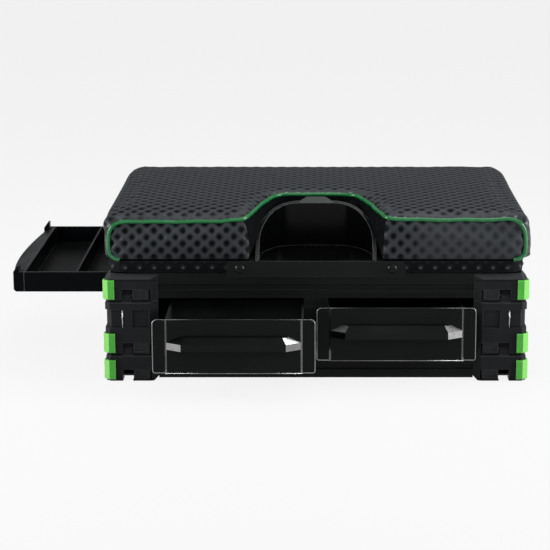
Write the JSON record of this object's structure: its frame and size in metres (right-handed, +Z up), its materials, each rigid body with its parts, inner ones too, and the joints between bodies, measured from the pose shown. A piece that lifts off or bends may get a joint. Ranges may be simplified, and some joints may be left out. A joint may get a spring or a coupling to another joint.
{
  "type": "fishing seat box",
  "caption": "Stacking tackle box on latched corner castings with front and side drawers under a hinged, padded seat that has a pole cup in its front edge.",
  "frame": {"origin": "middle of the outline on the ground, with the drawers as far out as in the picture", "axes": "+X away from the side drawer (right in the picture), +Y to the rear, +Z up"},
  "size_m": [0.6834, 0.4996, 0.2253],
  "materials": {
    "casting_black": "fine textured black moulding",
    "lever_black": "satin black",
    "insert_green": "glossy lime green",
    "rail_black": "black anodised",
    "floor_black": "plain black sheet",
    "drawer_black": "half gloss black moulding",
    "side_drawer_black": "half gloss black moulding",
    "seat_fabric": "dimpled black leatherette",
    "piping_green": "bright green piping",
    "cup_black": "glossy black",
    "plate_black": "half gloss black",
    "steel_dark": "dark zinc"
  },
  "bodies": {
    "frame": {"front_left_base_casting": "casting_black", "front_right_base_casting": "casting_black", "rear_left_base_casting": "casting_black", "rear_right_base_casting": "casting_black", "front_left_middle_casting": "casting_black", "front_right_middle_casting": "casting_black", "rear_left_middle_casting": "casting_black", "rear_right_middle_casting": "casting_black", "front_left_top_casting": "casting_black", "front_right_top_casting": "casting_black", "rear_left_top_casting": "casting_black", "rear_right_top_casting": "casting_black", "base_corner_inserts": "insert_green", "middle_corner_inserts": "insert_green", "top_corner_inserts": "insert_green", "latch_pins": "steel_dark", "base_front_rail": "rail_black", "base_rear_rail": "rail_black", "base_left_rail": "rail_black", "base_right_rail": "rail_black", "middle_rear_rail": "rail_black", "middle_left_rail": "rail_black", "middle_right_rail": "rail_black", "top_front_rail": "rail_black", "top_rear_rail": "rail_black", "top_right_rail": "rail_black", "base_floor": "floor_black", "middle_floor": "floor_black", "top_floor": "floor_black", "centre_post": "rail_black", "fixed_hinge_leaves": "steel_dark", "lid_hinge_pins": "steel_dark"},
    "seat_lid": {"seat_board": "seat_fabric", "seat_pad": "seat_fabric", "seat_piping": "piping_green", "pole_cup": "cup_black", "front_plate": "plate_black", "plate_screws": "plate_black", "lid_hinge_leaves": "steel_dark"},
    "left_drawer": {"left_drawer_tray": "drawer_black", "left_drawer_front": "drawer_black", "left_drawer_handle": "drawer_black"},
    "right_drawer": {"right_drawer_tray": "drawer_black", "right_drawer_front": "drawer_black", "right_drawer_handle": "drawer_black"},
    "side_drawer": {"side_drawer_tray": "side_drawer_black", "side_drawer_end": "side_drawer_black"},
    "front_left_base_lever_arm": {"front_left_base_lever": "lever_black"},
    "front_right_base_lever_arm": {"front_right_base_lever": "lever_black"},
    "rear_left_base_lever_arm": {"rear_left_base_lever": "lever_black"},
    "rear_right_base_lever_arm": {"rear_right_base_lever": "lever_black"},
    "front_left_middle_lever_arm": {"front_left_middle_lever": "lever_black"},
    "front_right_middle_lever_arm": {"front_right_middle_lever": "lever_black"},
    "rear_left_middle_lever_arm": {"rear_left_middle_lever": "lever_black"},
    "rear_right_middle_lever_arm": {"rear_right_middle_lever": "lever_black"},
    "front_left_top_lever_arm": {"front_left_top_lever": "lever_black"},
    "front_right_top_lever_arm": {"front_right_top_lever": "lever_black"},
    "rear_left_top_lever_arm": {"rear_left_top_lever": "lever_black"},
    "rear_right_top_lever_arm": {"rear_right_top_lever": "lever_black"}
  },
  "joints": [
    {"name": "left_drawer_slide", "type": "slide", "parent": "frame", "child": "left_drawer", "axis": [0, -1, 0], "range_m": [-0.082, 0.2]},
    {"name": "right_drawer_slide", "type": "slide", "parent": "frame", "child": "right_drawer", "axis": [0, -1, 0], "range_m": [-0.02, 0.262]},
    {"name": "side_drawer_slide", "type": "slide", "parent": "frame", "child": "side_drawer", "axis": [-1, 0, 0], "range_m": [-0.1235, 0.2]},
    {"name": "seat_hinge", "type": "hinge", "parent": "frame", "child": "seat_lid", "pos_m": [0.06675, 0.24625, 0.142], "axis": [-1, 0, 0], "range_deg": [0, 90]},
    {"name": "front_left_base_latch", "type": "hinge", "parent": "frame", "child": "front_left_base_lever_arm", "pos_m": [-0.15025, -0.14875, 0.00825], "axis": [0, 0, 1], "range_deg": [0, 70]},
    {"name": "front_right_base_latch", "type": "hinge", "parent": "frame", "child": "front_right_base_lever_arm", "pos_m": [0.28375, -0.14875, 0.00825], "axis": [0, 0, -1], "range_deg": [0, 70]},
    {"name": "rear_left_base_latch", "type": "hinge", "parent": "frame", "child": "rear_left_base_lever_arm", "pos_m": [-0.15025, 0.24325, 0.00825], "axis": [0, 0, -1], "range_deg": [0, 70]},
    {"name": "rear_right_base_latch", "type": "hinge", "parent": "frame", "child": "rear_right_base_lever_arm", "pos_m": [0.28375, 0.24325, 0.00825], "axis": [0, 0, 1], "range_deg": [0, 70]},
    {"name": "front_left_middle_latch", "type": "hinge", "parent": "frame", "child": "front_left_middle_lever_arm", "pos_m": [-0.15025, -0.14875, 0.04365], "axis": [0, 0, 1], "range_deg": [0, 70]},
    {"name": "front_right_middle_latch", "type": "hinge", "parent": "frame", "child": "front_right_middle_lever_arm", "pos_m": [0.28375, -0.14875, 0.04365], "axis": [0, 0, -1], "range_deg": [0, 70]},
    {"name": "rear_left_middle_latch", "type": "hinge", "parent": "frame", "child": "rear_left_middle_lever_arm", "pos_m": [-0.15025, 0.24325, 0.04365], "axis": [0, 0, -1], "range_deg": [0, 70]},
    {"name": "rear_right_middle_latch", "type": "hinge", "parent": "frame", "child": "rear_right_middle_lever_arm", "pos_m": [0.28375, 0.24325, 0.04365], "axis": [0, 0, 1], "range_deg": [0, 70]},
    {"name": "front_left_top_latch", "type": "hinge", "parent": "frame", "child": "front_left_top_lever_arm", "pos_m": [-0.15025, -0.14875, 0.11445], "axis": [0, 0, 1], "range_deg": [0, 70]},
    {"name": "front_right_top_latch", "type": "hinge", "parent": "frame", "child": "front_right_top_lever_arm", "pos_m": [0.28375, -0.14875, 0.11445], "axis": [0, 0, -1], "range_deg": [0, 70]},
    {"name": "rear_left_top_latch", "type": "hinge", "parent": "frame", "child": "rear_left_top_lever_arm", "pos_m": [-0.15025, 0.24325, 0.11445], "axis": [0, 0, -1], "range_deg": [0, 70]},
    {"name": "rear_right_top_latch", "type": "hinge", "parent": "frame", "child": "rear_right_top_lever_arm", "pos_m": [0.28375, 0.24325, 0.11445], "axis": [0, 0, 1], "range_deg": [0, 70]}
  ]
}
